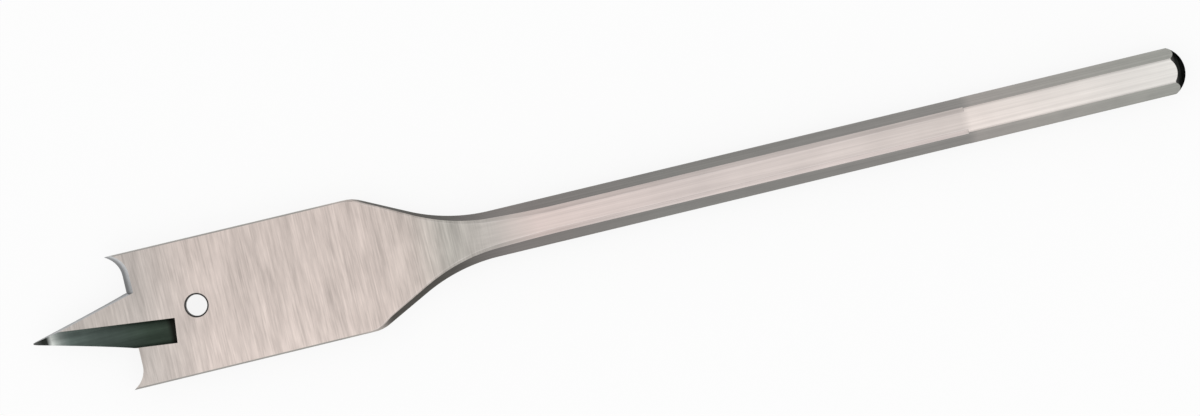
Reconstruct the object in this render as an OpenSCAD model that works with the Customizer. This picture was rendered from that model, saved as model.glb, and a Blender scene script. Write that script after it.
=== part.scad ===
// Spade drill bit for wood: a hexagonal bar forged flat into a blade at one end, then drilled and ground.
// It lies on one flat of its shank, with the point towards -X and the shank's end towards +X.

/* [Overall] */
// Length from the tip of the point to the end of the shank
overall_l = 182.5; // [170:0.5:220]

/* [Shank] */
// Width of the hexagon across its flats
hex_af = 6.35; // [5.5:0.05:8]
// How much the corners beside the upper and lower flats of the drawn bar are broken
shank_break = 0.5; // [0.1:0.05:0.6]
// How much the two side corners of the drawn bar are broken
side_break = 0.12; // [0.06:0.02:0.3]
// Length of the sharp-cornered end that a chuck grips
chuck_l = 34.9; // [25:0.1:45]
// How much all the corners of the chuck end are broken, except the two at the sides
chuck_break = 0.18; // [0.04:0.02:0.3]
// How much the two side corners of the chuck end are broken
chuck_side_break = 0.06; // [0.04:0.02:0.2]
// Radius of the domed end of the shank
dome_r = 4.1; // [4:0.1:6]

/* [Blade] */
// Width across the two spurs
blade_w = 21; // [18:0.5:26]
// How much narrower the blade is at the shoulders than at the spurs
back_taper = 0.2; // [0:0.05:0.5]
// Thickness between the two faces
blade_t = 2.5; // [2.2:0.1:3.2]
// Rounding of the blade's long edges
edge_break = 0.25; // [0.1:0.05:0.5]

/* [Neck] */
// Distance from the tip to the shoulders, where the blade starts to narrow
shoulder_x = 53; // [48:0.1:60]
// Slope of the shoulders, measured from the axis
shoulder_angle = 26.5; // [22:0.5:35]
// Rounding of the shoulder corners
shoulder_r = 5; // [2:0.5:8]
// Width of the wider slanted edges that the forging dies leave along the shoulders
wide_slant = 1.1; // [0.8:0.05:1.6]
// Width of the narrower slanted edges, across the blade from the wider ones on the same face
narrow_slant = 0.6; // [0.5:0.05:1.4]
// Half height of the upright strip between two slants
shoulder_land = 0.35; // [0.2:0.05:0.6]
// Radius of the hollow that carries the shoulders over into the shank
neck_r = 27; // [12:0.5:32]
// Distance from the tip to where the faces start to rise to the flats of the shank
rise_x = 60; // [56:0.5:64]
// Length over which the faces rise
rise_l = 14.5; // [10:0.5:18]
// Distance from the tip to where the neck has become the plain hexagon
hex_x = 84; // [76:0.5:95]

/* [Point] */
// Distance from the tip to the cutting lips
point_l = 15.7; // [13:0.1:18]
// Width of the point where it meets the lips
point_w = 8.2; // [7.5:0.1:9.6]
// Clearance angle behind the two edges of the point
point_clearance = 12; // [6:1:18]
// Width of the short edge at the very tip
tip_w = 0.2; // [0.1:0.05:0.6]
// Half thickness left at the very tip
tip_half_t = 0.06; // [0.04:0.02:0.12]
// Slope of the two small facets that sharpen the tip
tip_angle = 18; // [12:1:25]

/* [Lips and spurs] */
// How far the spurs stand ahead of the lips
spur_h = 2.2; // [1.4:0.1:2.5]
// Radius of the hollow between lip and spur
spur_r = 3.8; // [2.8:0.1:4.4]
// Clearance angle behind the lips and spurs
lip_clearance = 25; // [12:1:30]

/* [Gullets] */
// Radius of the round gullets ground beside the point, one into each face
gullet_r = 2.4; // [2.2:0.1:2.8]
// Depth of a gullet below the face
gullet_depth = 1; // [0.7:0.05:1.05]
// Angle between a gullet and the axis
gullet_angle = 6.5; // [5:0.5:8]
// Distance between a gullet's centre line and the axis at the tip
gullet_offset = 0.55; // [0.4:0.05:0.7]
// Distance from the tip to a gullet's square end
gullet_l = 22.1; // [19:0.1:22.5]

/* [Hole] */
// Diameter of the hole through the blade
hole_d = 3.3; // [2.5:0.1:4]
// Distance from the tip to the hole
hole_x = 25.9; // [25.5:0.1:34]
// Size of the chamfers at the hole's two mouths
hole_chamfer = 0.25; // [0.1:0.05:0.4]

/* [Hidden] */
// Half a side of the hexagon, and its half width across the broken corners
hex_half_side = hex_af / 2 * tan(30);
shank_half_w = 2 * hex_half_side - side_break / 2;
// Half width of the blade at the shoulders
shoulder_half_w = blade_w / 2 - back_taper / 2;
// Where the straight shoulders would meet the shank, and the tangent lengths of the two roundings
neck_x = shoulder_x + (shoulder_half_w - shank_half_w) / tan(shoulder_angle);
shoulder_run = shoulder_r * tan(shoulder_angle / 2);
neck_run = neck_r * tan(shoulder_angle / 2);
// The stretch of the forging where the section changes, from a little ahead of the shoulders' roundings,
// and the number of steps it is drawn in
change_lead = 0.5;
change_x0 = shoulder_x - shoulder_run - change_lead;
change_x1 = max(hex_x, rise_x + rise_l, neck_x + neck_run);
change_steps = 40;
// How far past the shoulders the slants reach their full width, and where that is
slant_run = 2;
slant_x = shoulder_x + slant_run;
// How deep the middle of a rounded edge lies below face and side, as a share of the rounding
edge_middle = 0.3;
// How deep the soft start of a slant lies below the face, as a share of the edge's rounding
slant_start = 0.4;
// Start of the chuck end
chuck_x = overall_l - chuck_l;
// Slope of the point's edges, measured from the axis
point_angle = atan((point_w - tip_w) / 2 / point_l);
// Distance from the tip to the tips of the spurs
spur_x = point_l - spur_h;
// Centre of the hollow between lip and spur, across its leaning axis, set so that it ends at the spur's tip
spur_centre_x = -spur_r;
spur_centre_y = blade_w / 2 - sqrt(pow(spur_r, 2) - pow(spur_r - spur_h * cos(lip_clearance), 2));
// Length that reaches past everything when a cut has to run out of the part
past = 2 * blade_w;
// Short reach of one solid into the next
bite = 0.5;
$fn = 96;

// Value between a and b, at m from 0 to 1
function between(a, b, m) = a + (b - a) * m;

// Smooth change from 0 to 1 while x goes from x0 to x1
function eased(x, x0, x1) =
  let (u = min(1, max(0, (x - x0) / (x1 - x0))))
  u * u * (3 - 2 * u);

// Half width of the forging at a distance x from the tip
function half_width(x) =
  x <= shoulder_x - shoulder_run
    ? blade_w / 2 - back_taper / 2 * max(0, (x - spur_x) / (shoulder_x - spur_x))
  : x <= shoulder_x + shoulder_run * cos(shoulder_angle)
    ? shoulder_half_w - shoulder_r
      + sqrt(shoulder_r * shoulder_r - pow(x - shoulder_x + shoulder_run, 2))
  : x <= neck_x - neck_run * cos(shoulder_angle)
    ? shoulder_half_w - (x - shoulder_x) * tan(shoulder_angle)
  : x <= neck_x + neck_run
    ? shank_half_w + neck_r - sqrt(neck_r * neck_r - pow(neck_x + neck_run - x, 2))
  : shank_half_w;

// Half height of the forging at a distance x from the tip
function half_height(x) = between(blade_t / 2, hex_af / 2, eased(x, rise_x, rise_x + rise_l));

// One quarter of a section: the end of the flat, the corner after it, and the end of the upright side.
// The blade has a small rounding there, the shoulders a slant, and the shank the hexagon's broken corners.
function blade_quarter(w, h) = [
  [w - edge_break, h],
  [w - edge_middle * edge_break, h - edge_middle * edge_break],
  [w, h - edge_break],
];
function shoulder_quarter(w, h, slant) = [
  [w - slant, h],
  [w - slant + edge_break, h - slant_start * edge_break],
  [w, shoulder_land],
];
function hex_quarter(w, h, b, side_b) =
  let (corner_y = w - hex_half_side + side_b / 2)
  [
    [corner_y - b, h],
    [corner_y + b / 2, h - b * sin(60)],
    [w, side_b * sin(60)],
  ];

// The whole section of twelve points, from two quarters that each come twice, half a turn apart
function section(q, r) = concat(
  [for (i = [0 : 2]) q[i]],
  [for (i = [2 : -1 : 0]) [r[i][0], -r[i][1]]],
  [for (i = [0 : 2]) [-q[i][0], -q[i][1]]],
  [for (i = [2 : -1 : 0]) [-r[i][0], r[i][1]]]
);

// Section of the forging at a distance x from the tip, from blade to shoulder to shank
function forged_section(x) =
  let (
    w = half_width(x),
    h = half_height(x),
    to_shoulder = eased(x, change_x0, slant_x),
    to_shank = eased(x, slant_x, change_x1),
    blade = blade_quarter(w, h),
    shank = hex_quarter(w, h, shank_break, side_break),
    narrow = between(blade, shoulder_quarter(w, h, narrow_slant), to_shoulder),
    wide = between(blade, shoulder_quarter(w, h, wide_slant), to_shoulder)
  )
  section(between(narrow, shank, to_shank), between(wide, shank, to_shank));

// Hexagonal bar along X with its corners broken by b, and by side_b at the two sides
module hex_bar(x0, x1, b, side_b) {
  quarter = hex_quarter(2 * hex_half_side - side_b / 2, hex_af / 2, b, side_b);
  translate([x0, 0, 0])
    rotate([90, 0, 90])
      linear_extrude(height = x1 - x0)
        polygon(section(quarter, quarter));
}

// The forging: blade, shoulders and neck in one run of sections, up to where the plain bar begins
module forging() {
  stations = concat(
    [0, spur_x],
    [for (i = [0 : change_steps]) between(change_x0, change_x1, i / change_steps)],
    [change_x1 + bite]
  );
  points = [for (x = stations) for (p = forged_section(x)) [x, p[0], p[1]]];
  last = len(stations) - 1;
  sides = [
    for (s = [0 : last - 1]) for (i = [0 : 11])
      let (j = (i + 1) % 12, a = 12 * s, c = 12 * (s + 1))
      each [[a + i, a + j, c + i], [c + i, a + j, c + j]]
  ];
  front = [[for (i = [11 : -1 : 0]) i]];
  back = [[for (i = [0 : 11]) 12 * last + i]];
  polyhedron(points = points, faces = concat(sides, front, back));
}

// The chuck end: the same hexagon with sharp corners and a domed end
module chuck_end() {
  intersection() {
    hex_bar(chuck_x, overall_l + bite, chuck_break, chuck_side_break);
    union() {
      translate([chuck_x - bite, 0, 0])
        rotate([0, 90, 0])
          cylinder(h = chuck_l - dome_r + bite, r = dome_r);
      translate([overall_l - dome_r, 0, 0])
        sphere(r = dome_r);
    }
  }
}

// Everything outside one edge of the point, leaning inwards by the clearance angle
module beside_point() {
  translate([0, tip_w / 2, 0])
    rotate([0, 0, point_angle])
      rotate([point_clearance, 0, 0])
        translate([-past, 0, -past])
          cube([2 * past, past, 2 * past]);
}

// Everything ahead of one lip and its spur, leaning back by the clearance angle
module ahead_of_lip() {
  translate([point_l, 0, -blade_t / 2])
    rotate([0, lip_clearance, 0])
      translate([0, 0, -past])
        linear_extrude(height = 2 * past) {
          translate([-past, -past])
            square([past + spur_centre_x, 2 * past]);
          translate([-past, -past])
            square([past, past + spur_centre_y]);
          translate([spur_centre_x, spur_centre_y])
            circle(r = spur_r);
        }
}

// What the grinder takes away beside the point and ahead of one lip
module lip_grind() {
  intersection() {
    beside_point();
    ahead_of_lip();
  }
}

// One small facet at the very tip
module tip_grind() {
  translate([0, 0, tip_half_t])
    rotate([0, -tip_angle, 0])
      translate([-past, -past, 0])
        cube([past + point_l, 2 * past, past]);
}

// One gullet, a round groove with a square end
module gullet() {
  translate([0, -gullet_offset, blade_t / 2 - gullet_depth + gullet_r])
    rotate([0, 0, -gullet_angle])
      rotate([0, 90, 0])
        translate([0, 0, -past])
          cylinder(h = past + gullet_l, r = gullet_r);
}

// The hole through the blade with both mouths chamfered
module hole() {
  translate([hole_x, 0, 0]) {
    cylinder(h = past, d = hole_d, center = true);
    for (turn = [0, 180])
      rotate([turn, 0, 0])
        translate([0, 0, blade_t / 2 - hole_chamfer])
          cylinder(h = 2 * hole_chamfer, d1 = hole_d, d2 = hole_d + 4 * hole_chamfer);
  }
}

// The whole bit: forged in one piece, then ground the same on both halves, half a turn apart
module spade_bit() {
  color([0.80, 0.76, 0.73])
    translate([-overall_l / 2, 0, hex_af / 2])
      difference() {
        union() {
          forging();
          hex_bar(change_x1, chuck_x + bite, shank_break, side_break);
          chuck_end();
        }
        for (turn = [0, 180])
          rotate([turn, 0, 0]) {
            lip_grind();
            gullet();
            tip_grind();
          }
        hole();
      }
}

spade_bit();
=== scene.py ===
import math

import bmesh
import bpy
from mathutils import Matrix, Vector


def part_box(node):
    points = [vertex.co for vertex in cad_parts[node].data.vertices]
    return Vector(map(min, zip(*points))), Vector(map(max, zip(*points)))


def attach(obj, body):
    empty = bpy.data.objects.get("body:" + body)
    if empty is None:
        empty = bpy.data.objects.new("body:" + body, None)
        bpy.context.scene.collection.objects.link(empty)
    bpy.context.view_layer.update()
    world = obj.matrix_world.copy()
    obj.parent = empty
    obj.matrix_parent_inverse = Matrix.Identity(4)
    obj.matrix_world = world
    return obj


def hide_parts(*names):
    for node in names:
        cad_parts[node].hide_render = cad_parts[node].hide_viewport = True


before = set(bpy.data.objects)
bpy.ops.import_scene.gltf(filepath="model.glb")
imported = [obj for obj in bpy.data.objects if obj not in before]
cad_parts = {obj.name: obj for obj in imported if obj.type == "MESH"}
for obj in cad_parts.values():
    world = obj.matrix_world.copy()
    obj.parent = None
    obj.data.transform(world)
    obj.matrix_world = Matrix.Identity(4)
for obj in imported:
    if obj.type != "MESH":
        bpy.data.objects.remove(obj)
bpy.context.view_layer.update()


# The bit starts as a hexagonal bar of drawn tool steel, forged flat at one end into blade and neck.
# The sides are coloured dark, partly the skin of the drawn and forged bar and partly painted shade,
# brighter where the chuck end was cleaned up.
# The mesh is a merged copy of the solid, with the facets of each flat joined into one face.
bit_low, bit_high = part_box("spade_bit")
tip_x = bit_low.x
bit_l = bit_high.x - bit_low.x
axis_z = (bit_low.z + bit_high.z) / 2
same_point = 2e-6
same_flat = math.radians(0.3)

steel = bmesh.new()
steel.from_mesh(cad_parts["spade_bit"].data)
bmesh.ops.remove_doubles(steel, verts=steel.verts, dist=same_point)
bmesh.ops.dissolve_limit(
    steel, angle_limit=same_flat, verts=steel.verts, edges=steel.edges, delimit={"NORMAL"}
)
bit_mesh = bpy.data.meshes.new("spade_bit_steel")


def new_finish(name):
    # A bare metal, added to the bit's finishes, with its number among them
    finish = bpy.data.materials.new(name)
    finish.use_nodes = True
    shader = finish.node_tree.nodes["Principled BSDF"]
    shader.inputs["Metallic"].default_value = 1
    bit_mesh.materials.append(finish)
    return len(bit_mesh.materials) - 1, finish.node_tree, shader


def put(tree, kind, inputs, **options):
    # A node with its options set, and a value or a link for each of the inputs named
    node = tree.nodes.new(kind)
    for key, value in options.items():
        setattr(node, key, value)
    for key, value in inputs.items():
        if isinstance(value, bpy.types.NodeSocket):
            tree.links.new(value, node.inputs[key])
        else:
            node.inputs[key].default_value = value
    return node


def place_on_bit(tree):
    return put(tree, "ShaderNodeTexCoord", {}).outputs["Object"]


def axes_of_bit(tree):
    # Metres along the bit (X), across it (Y) and up (Z)
    return put(tree, "ShaderNodeSeparateXYZ", {"Vector": place_on_bit(tree)}).outputs


def ranged(tree, value, start, end, low=0, high=1, change="LINEAR"):
    # Low where the value is at start, high where it is at end, and changing between them
    inputs = {"Value": value, "From Min": start, "From Max": end, "To Min": low, "To Max": high}
    return put(tree, "ShaderNodeMapRange", inputs, interpolation_type=change).outputs["Result"]


def along_bit(tree, stops):
    # A colour that changes along the bit, from stops of millimetres from the tip and linear colour
    share = ranged(tree, axes_of_bit(tree)["X"], tip_x, tip_x + bit_l)
    ramp = put(tree, "ShaderNodeValToRGB", {"Fac": share})
    while len(ramp.color_ramp.elements) < len(stops):
        ramp.color_ramp.elements.new(1)
    for element, (mm, colour) in zip(ramp.color_ramp.elements, stops):
        element.position = mm / 1000 / bit_l
        element.color = (*colour, 1)
    return ramp.outputs["Color"]


def lines(tree, scale, detail=4):
    # Fine lines: noise over the bit's own coordinates, stretched by a scale for each axis
    stretched = put(tree, "ShaderNodeMapping", {"Vector": place_on_bit(tree), "Scale": scale})
    inputs = {"Vector": stretched.outputs["Vector"], "Scale": 1, "Detail": detail, "Roughness": 0.6}
    return put(tree, "ShaderNodeTexNoise", inputs).outputs["Fac"]


def cloudy(tree, scale):
    # Soft patches, the same in all directions
    return lines(tree, (scale, scale, scale), detail=3)


def spread(tree, noise, low, high):
    # Noise stays near its middle, so that part of it is spread out to run from low to high
    usual_low = 0.3
    usual_high = 0.7
    return ranged(tree, noise, usual_low, usual_high, low, high)


def reckoned(tree, operation, *values):
    # A number worked out from one or two others
    return put(tree, "ShaderNodeMath", dict(enumerate(values)), operation=operation).outputs["Value"]


def times(tree, colour, factor):
    # A colour made lighter or darker by a number
    product = put(tree, "ShaderNodeVectorMath", {0: colour, 1: factor}, operation="MULTIPLY")
    return product.outputs["Vector"]


def mixed(tree, share, first, second, kind):
    # The first turned into the second by a share from 0 to 1, both of them colours or numbers
    inputs = {"Factor": share, "A": first, "B": second}
    return put(tree, "ShaderNodeMix", inputs, data_type=kind).outputs["Result"]


def broken_edges(tree):
    # 1 on the narrow faces of the broken edges, 0 elsewhere
    return put(tree, "ShaderNodeAttribute", {}, attribute_name="edge").outputs["Fac"]


def rubbed(tree, colour, where, bright, amount):
    # Steel rubbed bright along its edges, in broken stretches
    patches = spread(tree, lines(tree, (300, 300, 300)), low=0, high=1)
    share = reckoned(tree, "MULTIPLY", reckoned(tree, "MULTIPLY", where, patches), amount)
    return mixed(tree, share, colour, (*bright, 1), "RGBA")


def bumped(tree, height, strength, depth):
    # Fine relief, with its depth in metres
    inputs = {"Height": height, "Strength": strength, "Distance": depth}
    return put(tree, "ShaderNodeBump", inputs).outputs["Normal"]


def dressed(tree, shader, colour, roughness, normal):
    # The metal takes its colour, its roughness and its fine relief
    tree.links.new(colour, shader.inputs["Base Color"])
    tree.links.new(roughness, shader.inputs["Roughness"])
    tree.links.new(normal, shader.inputs["Normal"])


drawn, tree, shader = new_finish("drawn_steel")
for face in steel.faces:
    face.material_index = drawn

skin_and_side_shade = along_bit(
    tree,
    [
        (0, (0.42, 0.40, 0.38)),  # long edges of the blade
        (46, (0.40, 0.385, 0.36)),
        (52, (0.54, 0.49, 0.455)),
        # The shoulders are painted near-black as painted shade.
        (54.5, (0.095, 0.09, 0.08)),  # shoulders
        (66, (0.10, 0.094, 0.085)),
        # The sloping flats of the shank are painted dark as painted shade.
        (76, (0.22, 0.20, 0.19)),  # sloping flats of the shank
        (100, (0.25, 0.243, 0.23)),
        (147.4, (0.275, 0.263, 0.25)),
        (149, (0.37, 0.345, 0.325)),  # chuck end
        (180, (0.35, 0.352, 0.325)),
    ],
)
drawn_lines = lines(tree, (14, 2200, 2200))
clouds = cloudy(tree, 240)
skin_and_side_shade = times(tree, skin_and_side_shade, spread(tree, drawn_lines, low=0.88, high=1.12))
skin_and_side_shade = times(tree, skin_and_side_shade, spread(tree, clouds, low=0.9, high=1.1))
skin_and_side_shade = rubbed(tree, skin_and_side_shade, broken_edges(tree), bright=(0.45, 0.42, 0.4), amount=0.4)
dressed(
    tree,
    shader,
    colour=skin_and_side_shade,
    roughness=spread(tree, clouds, low=0.36, high=0.5),
    normal=bumped(tree, drawn_lines, strength=0.25, depth=0.00003),
)


# The two broad faces of the blade are ground across, and the grinding runs up the ramps at the neck.
# The upper and lower flats of the shank are drawn lengthwise, and the chuck end is ground brighter.
# The broken corners beside the flats are rubbed bright, and one of each pair is painted as bright as
# its flat, as painted light.
corner_start_x = tip_x + 0.0525
grinding_end_x = tip_x + 0.066
drawing_start_x = tip_x + 0.076
flat_half_w = 0.0014
painted_light_corner_start = 0.0015
painted_light_corner_colour = (0.78, 0.69, 0.66, 1)
# Faces are told apart by how far their normals point up or aside, from 0 to 1
flat_up = 0.9
flat_aside = 0.15
corner_up = 0.8

ground, tree, shader = new_finish("ground_steel")
for face in steel.faces:
    flat = abs(face.normal.z) > flat_up and abs(face.normal.y) < flat_aside
    corner = abs(face.normal.z) > corner_up and face.calc_center_median().x > corner_start_x
    if flat or corner:
        face.material_index = ground


def above_axis(tree):
    # Metres above the bit's axis
    return reckoned(tree, "SUBTRACT", axes_of_bit(tree)["Z"], axis_z)


def across_face(tree):
    # Metres across the bit, counted the same way on both faces, which lie half a turn apart
    upper_or_lower = reckoned(tree, "SIGN", above_axis(tree))
    return reckoned(tree, "MULTIPLY", axes_of_bit(tree)["Y"], upper_or_lower)


face_colour = along_bit(
    tree,
    [
        # The tip is painted near-black as painted shade, and the centre point behind it carries a
        # painted highlight.
        (0, (0.14, 0.145, 0.14)),  # sharpened tip
        (1.2, (0.028, 0.031, 0.027)),
        (2.2, (0.03, 0.034, 0.03)),
        (2.7, (0.66, 0.66, 0.63)),  # centre point, brightest behind the tip
        (3.6, (0.54, 0.51, 0.48)),
        (7, (0.42, 0.385, 0.36)),
        (12, (0.525, 0.475, 0.44)),
        (17, (0.495, 0.45, 0.42)),
        (27, (0.61, 0.53, 0.49)),  # blade
        (54, (0.595, 0.515, 0.475)),
        # The ramps of the neck are painted darker as painted shade, where they tilt away from the
        # light.
        (60, (0.57, 0.50, 0.46)),  # ramps of the neck
        (66, (0.505, 0.48, 0.44)),
        (73, (0.51, 0.475, 0.445)),
        (80, (0.69, 0.585, 0.55)),  # flats of the shank
        (105, (0.615, 0.545, 0.52)),
        (147.4, (0.62, 0.56, 0.53)),
        (147.8, (0.76, 0.685, 0.645)),  # chuck end
        (180, (0.71, 0.69, 0.66)),
    ],
)
wide_across = lines(tree, (800, 140, 140), detail=3)
fine_across = lines(tree, (4200, 160, 160), detail=3)
half_each = 0.5
across = mixed(tree, half_each, wide_across, fine_across, "FLOAT")
along = spread(tree, lines(tree, (25, 2600, 2600), detail=3), low=0.43, high=0.57)
on_shank = ranged(
    tree, axes_of_bit(tree)["X"], grinding_end_x, drawing_start_x, change="SMOOTHSTEP"
)
grain = mixed(tree, on_shank, across, along, "FLOAT")
clouds = cloudy(tree, 90)
# Painted light: the corner of each flat on the side of the gullet is painted as bright as the flat
painted_light_run = along_bit(
    tree, [(84, (0, 0, 0)), (96, (1, 1, 1)), (147.4, (1, 1, 1)), (147.8, (0, 0, 0))]
)
past_flat = ranged(tree, across_face(tree), -flat_half_w, -painted_light_corner_start)
on_painted_light_corner = reckoned(tree, "MULTIPLY", painted_light_run, past_flat)
face_colour = mixed(tree, on_painted_light_corner, face_colour, painted_light_corner_colour, "RGBA")
# Painted shade: each face is a little duller towards its edge away from the gullet
painted_side_shade = ranged(tree, across_face(tree), bit_low.y, bit_high.y, low=1.035, high=0.94)
face_colour = times(tree, face_colour, painted_side_shade)
face_colour = times(tree, face_colour, spread(tree, grain, low=0.7, high=1.3))
face_colour = times(tree, face_colour, spread(tree, clouds, low=0.95, high=1.05))
face_colour = rubbed(tree, face_colour, broken_edges(tree), bright=(0.78, 0.74, 0.72), amount=0.4)
dressed(
    tree,
    shader,
    colour=face_colour,
    roughness=spread(tree, grain, low=0.33, high=0.43),
    normal=bumped(tree, grain, strength=0.3, depth=0.00002),
)


# A round gullet is ground beside the point, one into each face, half a turn apart.
# It is coloured dark, blackest at its square end, where the black is painted shadow.
gullet_r = 0.0024
gullet_angle = math.radians(6.5)
gullet_offset = 0.00055
gullet_axis_height = 0.00265
gullet_reach = 0.023
end_wall_start = 0.019
end_wall_back = 0.98
on_wall = 0.00004
face_height = 0.00125
rubbed_height = 0.00114

gullet, tree, shader = new_finish("gullet_steel")
for face in steel.faces:
    centre = face.calc_center_median()
    side = 1 if centre.z > axis_z else -1
    from_tip = centre.x - tip_x
    aside = side * centre.y
    height = side * (centre.z - axis_z)
    from_line = from_tip * math.sin(gullet_angle) + (aside + gullet_offset) * math.cos(gullet_angle)
    from_axis = math.hypot(from_line, height - gullet_axis_height)
    round_wall = abs(from_axis - gullet_r) < on_wall
    end_wall = face.normal.x < -end_wall_back and from_tip > end_wall_start
    if from_tip < gullet_reach and (round_wall or end_wall):
        face.material_index = gullet


def beside_face(tree):
    # 1 at the blade's two faces, falling to 0 a little way below them
    height = reckoned(tree, "ABSOLUTE", above_axis(tree))
    return ranged(tree, height, rubbed_height, face_height)


gullet_colour = along_bit(
    tree,
    [
        # The tip is painted near-black as painted shade, and the run-out behind it is a painted
        # highlight.
        (0, (0.14, 0.145, 0.14)),  # sharpened tip
        (1.2, (0.028, 0.031, 0.027)),
        (2.2, (0.03, 0.034, 0.03)),
        (2.6, (0.66, 0.68, 0.65)),  # bright run-out behind the tip
        (3.2, (0.58, 0.62, 0.59)),
        (3.8, (0.24, 0.27, 0.255)),  # floor of the gullet
        (4.5, (0.21, 0.236, 0.224)),
        (5.2, (0.112, 0.14, 0.129)),
        (7, (0.085, 0.108, 0.098)),
        (12, (0.06, 0.078, 0.069)),
        (18, (0.044, 0.063, 0.048)),
        (20.9, (0.036, 0.05, 0.038)),
        # The square end is painted black as painted shadow.
        (21.4, (0.012, 0.012, 0.010)),  # square end
    ],
)
wheel_lines = lines(tree, (60, 1800, 1800))
clouds = cloudy(tree, 220)
gullet_colour = times(tree, gullet_colour, spread(tree, wheel_lines, low=0.85, high=1.15))
gullet_colour = times(tree, gullet_colour, spread(tree, clouds, low=0.8, high=1.2))
gullet_colour = rubbed(tree, gullet_colour, beside_face(tree), bright=(0.4, 0.4, 0.38), amount=0.5)
dressed(
    tree,
    shader,
    colour=gullet_colour,
    roughness=spread(tree, clouds, low=0.32, high=0.46),
    normal=bumped(tree, wheel_lines, strength=0.25, depth=0.00002),
)


# The lips, the spurs and the two edges of the point are finely ground, each leaning back from its edge.
# The fresh grinding is cooler in colour than the faces, and painted shade darkens it towards the
# cutting edge.
lips_end_x = tip_x + 0.0185
lip_forward = 0.1
heel_height = 0.0009
edge_shade_height = -0.0006
heel_colour = (0.50, 0.51, 0.52, 1)
edge_shade_colour = (0.16, 0.165, 0.17, 1)
lip_root = 0.0045
lip_spur = 0.009

lip, tree, shader = new_finish("lip_steel")
for face in steel.faces:
    faces_forward = face.normal.x < -lip_forward and face.calc_center_median().x < lips_end_x
    if faces_forward and face.material_index == drawn:
        face.material_index = lip

across_bit = axes_of_bit(tree)["Y"]
above_lip = reckoned(tree, "MULTIPLY", above_axis(tree), reckoned(tree, "SIGN", across_bit))
towards_edge_shade = ranged(tree, above_lip, heel_height, edge_shade_height, change="SMOOTHSTEP")
lip_colour = mixed(tree, towards_edge_shade, heel_colour, edge_shade_colour, "RGBA")
from_middle = reckoned(tree, "ABSOLUTE", across_bit)
towards_spur = ranged(
    tree, from_middle, lip_root, lip_spur, low=0.62, high=1, change="SMOOTHSTEP"
)
fine_lines = lines(tree, (2400, 2400, 200))
clouds = cloudy(tree, 260)
lip_colour = times(tree, lip_colour, towards_spur)
lip_colour = times(tree, lip_colour, spread(tree, fine_lines, low=0.86, high=1.14))
lip_colour = times(tree, lip_colour, spread(tree, clouds, low=0.95, high=1.05))
lip_colour = rubbed(tree, lip_colour, beside_face(tree), bright=(0.75, 0.74, 0.73), amount=0.4)
dressed(
    tree,
    shader,
    colour=lip_colour,
    roughness=spread(tree, fine_lines, low=0.25, high=0.36),
    normal=bumped(tree, fine_lines, strength=0.2, depth=0.00001),
)


# The hole through the blade is drilled, and both its mouths are chamfered.
# The drill leaves rings on the wall, which is painted darker than the ground faces as painted shade.
hole_x = tip_x + 0.0259
hole_reach = 0.0023
hole_up = 0.95

hole, tree, shader = new_finish("drilled_steel")
for face in steel.faces:
    centre = face.calc_center_median()
    in_hole = math.hypot(centre.x - hole_x, centre.y) < hole_reach
    if in_hole and abs(face.normal.z) < hole_up:
        face.material_index = hole

rings = lines(tree, (90, 90, 4500))
clouds = cloudy(tree, 400)
hole_shade_colour = times(tree, (0.08, 0.076, 0.072), spread(tree, rings, low=0.8, high=1.2))
hole_shade_colour = times(tree, hole_shade_colour, spread(tree, clouds, low=0.85, high=1.15))
hole_shade_colour = rubbed(tree, hole_shade_colour, broken_edges(tree), bright=(0.5, 0.47, 0.45), amount=0.4)
dressed(
    tree,
    shader,
    colour=hole_shade_colour,
    roughness=spread(tree, clouds, low=0.35, high=0.5),
    normal=bumped(tree, rings, strength=0.3, depth=0.00002),
)


# The end of the shank is turned to a low dome and coloured near-black.
# Only the corners of its rim are rubbed bright.
dome_r = 0.0041
dome_centre = Vector((bit_high.x - dome_r, 0, axis_z))
dome_start_x = bit_high.x - 0.0025
dome_back = 0.2
dome_cuts = 2
rim_inner_r = 0.0031
rim_outer_r = 0.0037

dome, tree, shader = new_finish("near_black_end")
for face in steel.faces:
    if face.calc_center_median().x > dome_start_x and face.normal.x > dome_back:
        face.material_index = dome


def dome_faces():
    return [face for face in steel.faces if face.material_index == dome]


def inside_dome(part):
    return all(face.material_index == dome for face in part.link_faces)


def dome_edges():
    return [edge for edge in steel.edges if inside_dome(edge)]


bmesh.ops.triangulate(steel, faces=dome_faces())
bmesh.ops.subdivide_edges(steel, edges=dome_edges(), cuts=dome_cuts)
for vert in steel.verts:
    if inside_dome(vert):
        vert.co = dome_centre + (vert.co - dome_centre).normalized() * dome_r
finer = bmesh.ops.triangulate(steel, faces=dome_faces())["faces"]
bmesh.ops.beautify_fill(steel, faces=finer, edges=dome_edges(), method="ANGLE")

shader.inputs["Specular Tint"].default_value = (0.2, 0.2, 0.2, 1)
turned = lines(tree, (5200, 120, 120))
clouds = cloudy(tree, 500)
end_colour = times(tree, (0.018, 0.019, 0.018), spread(tree, turned, low=0.45, high=1.55))
end_colour = times(tree, end_colour, spread(tree, clouds, low=0.7, high=1.3))
outwards = put(
    tree,
    "ShaderNodeMapping",
    {"Vector": place_on_bit(tree), "Location": (0, 0, -axis_z), "Scale": (0, 1, 1)},
).outputs["Vector"]
reach = put(tree, "ShaderNodeVectorMath", {0: outwards}, operation="LENGTH").outputs["Value"]
rim = ranged(tree, reach, rim_inner_r, rim_outer_r)
end_colour = rubbed(tree, end_colour, rim, bright=(0.3, 0.29, 0.28), amount=0.6)
dressed(
    tree,
    shader,
    colour=end_colour,
    roughness=spread(tree, clouds, low=0.34, high=0.5),
    normal=bumped(tree, turned, strength=0.4, depth=0.00003),
)


# All blunt edges are broken by tumbling, while the cutting edges of point, lips and spurs stay crisp.
# With that the bit is finished, and it takes the place of the solid.
least_break_angle = math.radians(14)
least_crease_angle = math.radians(32)
broken_w = 0.00006
crowded_l = 0.00013

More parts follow.
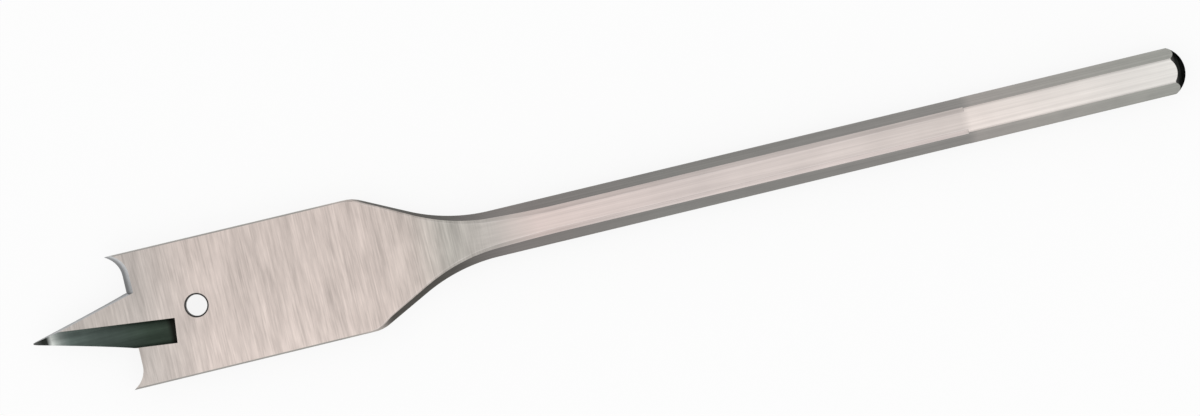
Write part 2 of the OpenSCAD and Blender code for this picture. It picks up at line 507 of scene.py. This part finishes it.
edge_share = steel.faces.layers.float.new("edge")
broken = []
for edge in steel.edges:
    if edge.calc_face_angle(0) < least_break_angle:
        continue
    if any(face.material_index in (gullet, lip, dome) for face in edge.link_faces):
        continue
    if any(near.calc_length() < crowded_l for vert in edge.verts for near in vert.link_edges):
        continue
    broken.append(edge)
rounded = bmesh.ops.bevel(
    steel,
    geom=broken,
    offset=broken_w,
    offset_type="OFFSET",
    segments=2,
    profile=0.5,
    affect="EDGES",
    clamp_overlap=False,
    material=-1,
    loop_slide=True,
)
for face in rounded["faces"]:
    face[edge_share] = 1
for face in steel.faces:
    face.smooth = True
for edge in steel.edges:
    edge.smooth = edge.calc_face_angle(0) < least_crease_angle

steel.to_mesh(bit_mesh)
steel.free()
bit = bpy.data.objects.new("spade_bit_steel", bit_mesh)
bpy.context.scene.collection.objects.link(bit)
flat_first = bit.modifiers.new("flat_faces_first", "WEIGHTED_NORMAL")
flat_first.keep_sharp = True

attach(bit, "root")
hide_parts("spade_bit")


# The floor is a plain pale sheet under the bit.
# The camera sees it as white, with the bit's own soft shadow.
floor_half = 3.0
floor_colour = (0.92, 0.92, 0.92, 1)
floor_whiteness = 0.86

sheet = bmesh.new()
bmesh.ops.create_grid(sheet, x_segments=1, y_segments=1, size=floor_half)
floor_mesh = bpy.data.meshes.new("floor")
sheet.to_mesh(floor_mesh)
sheet.free()
floor = bpy.data.objects.new("floor", floor_mesh)
bpy.context.scene.collection.objects.link(floor)

floor_paint = bpy.data.materials.new("floor_paint")
floor_paint.use_nodes = True
tree = floor_paint.node_tree
tree.nodes.remove(tree.nodes["Principled BSDF"])
matt = put(tree, "ShaderNodeBsdfDiffuse", {"Color": floor_colour}).outputs["BSDF"]
glow = put(tree, "ShaderNodeEmission", {"Color": (1, 1, 1, 1), "Strength": 1}).outputs["Emission"]
ray = put(tree, "ShaderNodeLightPath", {}).outputs
seen = reckoned(tree, "MAXIMUM", ray["Is Camera Ray"], ray["Is Glossy Ray"])
seen = reckoned(tree, "MAXIMUM", seen, ray["Is Transmission Ray"])
share = reckoned(tree, "MULTIPLY", seen, floor_whiteness)
white = put(tree, "ShaderNodeMixShader", {"Fac": share, 1: matt, 2: glow}).outputs["Shader"]
tree.links.new(white, tree.nodes["Material Output"].inputs["Surface"])
floor_mesh.materials.append(floor_paint)


# The light is a soft studio light: an even pale room,
# and one wide lamp above that gives the bit its soft shadow.
room_level = 0.85
lamp_level = 0.33
lamp_size = 1.6
lamp_place = (0.2, -0.45, 1.5)

room = bpy.data.worlds.new("room")
room.use_nodes = True
walls = room.node_tree.nodes["Background"]
walls.inputs["Color"].default_value = (1, 1, 1, 1)
walls.inputs["Strength"].default_value = room_level
bpy.context.scene.world = room

lamp_data = bpy.data.lights.new("wide_lamp", "AREA")
lamp_data.shape = "SQUARE"
lamp_data.size = lamp_size
lamp_data.energy = lamp_level * math.pi * lamp_size**2
lamp = bpy.data.objects.new("wide_lamp", lamp_data)
bpy.context.scene.collection.objects.link(lamp)
lamp.location = lamp_place


# The camera looks straight down on the bit through a long lens,
# turned so that the bit rises to the right as in the photograph.
picture_w = 0.1848
picture_x = -0.00145
picture_y = 0.00003
picture_z = 0.004
bit_rise = math.radians(13.51)
lens = 200
sensor_w = 36

camera_data = bpy.data.cameras.new("camera")
camera_data.sensor_width = sensor_w
camera_data.lens = lens
camera = bpy.data.objects.new("camera", camera_data)
bpy.context.scene.collection.objects.link(camera)
camera.location = (picture_x, picture_y, picture_z + lens / sensor_w * picture_w)
camera.rotation_euler = (0, 0, -bit_rise)
bpy.context.scene.camera = camera
bpy.context.scene.view_settings.view_transform = "Standard"
